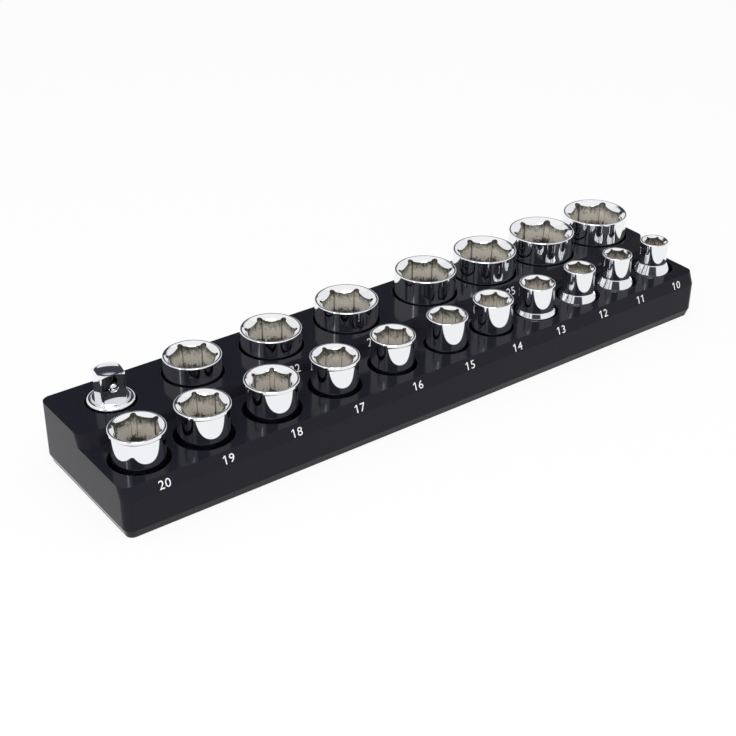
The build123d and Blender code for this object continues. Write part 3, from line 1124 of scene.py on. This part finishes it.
def add_camera():
    """The camera at the photograph's angle."""
    at_rest()
    bpy.ops.object.camera_add(location=Vector(CAMERA_PLACE) * MM)
    camera = bpy.context.active_object
    camera.name = "photo_camera"
    azimuth = radians(CAMERA_AZIMUTH)
    elevation = radians(CAMERA_ELEVATION)
    ahead = Vector((-sin(azimuth) * cos(elevation), cos(azimuth) * cos(elevation), -sin(elevation)))
    level = ahead.cross(Vector((0, 0, 1))).normalized()
    rise = level.cross(ahead)
    roll = radians(CAMERA_ROLL)
    side = level * cos(roll) + rise * sin(roll)
    up = rise * cos(roll) - level * sin(roll)
    camera.rotation_euler = Matrix((side, up, -ahead)).transposed().to_euler()
    camera.data.sensor_width = SENSOR_WIDTH
    camera.data.lens = CAMERA_LENS
    camera.data.clip_end = 50
    bpy.context.scene.camera = camera


# Operators


def place_piece(piece, body, finishes, nodes=(), smooth=30.0):
    """Finish a piece: its materials, its place in the mesh, and what it stands for."""
    dress(piece, *finishes)
    settle(piece, smooth)
    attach(piece, body)
    if nodes:
        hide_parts(*nodes)


class TRAY_OT_moulding(bpy.types.Operator):
    """Model the two-tier tray with its pockets"""

    bl_idname = "object.tray_moulding"
    bl_label = "Tray moulding"

    def execute(self, context):
        tray = build_tray(context.scene.tray_sizes)
        if len(tray.data.polygons) < 1000:
            raise RuntimeError("the tray lost its pockets")
        place_piece(tray, "tray", ["gloss_black"], ["tray_shell"])
        return {"FINISHED"}


class TRAY_OT_digits(bpy.types.Operator):
    """Print the size numbers on the slope and the riser"""

    bl_idname = "object.tray_digits"
    bl_label = "Size numbers"

    def execute(self, context):
        digits = join(build_digits(context.scene.tray_sizes))
        digits.name = "size_digits"
        place_piece(digits, "tray", ["digit_paint"])
        return {"FINISHED"}


class TRAY_OT_sockets(bpy.types.Operator):
    """Model every socket and stand it in its pocket"""

    bl_idname = "object.tray_sockets"
    bl_label = "Sockets"

    def execute(self, context):
        sizes = context.scene.socket_sizes
        for size in FRONT_SIZES + REAR_SIZES:
            piece = build_socket(size, sizes)
            dress(piece, "chrome", "nickel")
            box = SOCKET_BOXES[size]
            throat = MOUTH_DIAMETER[size] / 2 - THROAT_MARGIN
            paint_bore(piece, box.middle, throat, box.high.z, box.low.z)
            note_grooves(piece, box.middle, size, sizes)
            settle(piece, 14.0)
            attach(piece, f"socket_{size}")
            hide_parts(f"socket_{size}")
        return {"FINISHED"}


class TRAY_OT_adaptor(bpy.types.Operator):
    """Model the drive adaptor and its detent ball"""

    bl_idname = "object.tray_adaptor"
    bl_label = "Drive adaptor"

    def execute(self, context):
        sizes = context.scene.adaptor_sizes
        place_piece(build_adaptor(sizes), "drive_adapter", ["chrome"], ["drive_adapter"], 20.0)
        ball = Box("detent_ball")
        profile = arc((0, ball.middle.z), ball.size.z / 2, -90, 90, BALL_STEPS)
        piece = turn_on_lathe("detent_ball_steel", profile, ball.middle.xy, 48)
        place_piece(piece, "detent_ball", ["ball_steel"], ["detent_ball"], 60.0)
        return {"FINISHED"}


class TRAY_OT_inner_parts(bpy.types.Operator):
    """Give the base plate, the magnets, the screws and the spring their finishes"""

    bl_idname = "object.tray_inner_parts"
    bl_label = "Base plate, magnets, screws and spring"

    def execute(self, context):
        for node, name in NODE_FINISHES.items():
            dress_node(node, name)
        return {"FINISHED"}


class TRAY_OT_stage(bpy.types.Operator):
    """Set up the floor, the lights and the camera"""

    bl_idname = "object.tray_stage"
    bl_label = "Studio"

    def execute(self, context):
        build_floor(context.scene.studio_looks)
        light_world()
        for name, place, aim, width, height, power in SOFTBOXES:
            add_softbox(name, place, aim, width, height, power)
        add_camera()
        context.scene.view_settings.view_transform = "Standard"
        return {"FINISHED"}


class VIEW3D_PT_socket_tray(bpy.types.Panel):
    """Lists the pieces of the socket tray"""

    bl_label = "Socket tray"
    bl_space_type = "VIEW_3D"
    bl_region_type = "UI"
    bl_category = "Socket Tray"

    def draw(self, context):
        layout = self.layout
        for operator in OPERATORS:
            layout.operator(operator.bl_idname)
        for group in ("tray_sizes", "socket_sizes", "adaptor_sizes", "tray_looks", "studio_looks"):
            box = layout.box()
            owner = getattr(context.scene, group)
            for key in owner.bl_rna.properties.keys():
                if key not in ("rna_type", "name"):
                    box.prop(owner, key)


GROUPS = {
    "tray_sizes": TraySizes,
    "socket_sizes": SocketSizes,
    "adaptor_sizes": AdaptorSizes,
    "tray_looks": TrayLooks,
    "studio_looks": StudioLooks,
}
OPERATORS = (
    TRAY_OT_moulding,
    TRAY_OT_digits,
    TRAY_OT_sockets,
    TRAY_OT_adaptor,
    TRAY_OT_inner_parts,
    TRAY_OT_stage,
)


def register():
    for name, group in GROUPS.items():
        bpy.utils.register_class(group)
        setattr(bpy.types.Scene, name, PointerProperty(type=group))
    for operator in OPERATORS:
        bpy.utils.register_class(operator)
    bpy.utils.register_class(VIEW3D_PT_socket_tray)


def unregister():
    bpy.utils.unregister_class(VIEW3D_PT_socket_tray)
    for operator in reversed(OPERATORS):
        bpy.utils.unregister_class(operator)
    for name, group in reversed(list(GROUPS.items())):
        delattr(bpy.types.Scene, name)
        bpy.utils.unregister_class(group)


def main():
    register()
    bpy.ops.object.tray_moulding()
    bpy.ops.object.tray_digits()
    bpy.ops.object.tray_sockets()
    bpy.ops.object.tray_adaptor()
    bpy.ops.object.tray_inner_parts()
    bpy.ops.object.tray_stage()
    at_rest()
    bpy.context.view_layer.update()


if __name__ == "__main__":
    main()
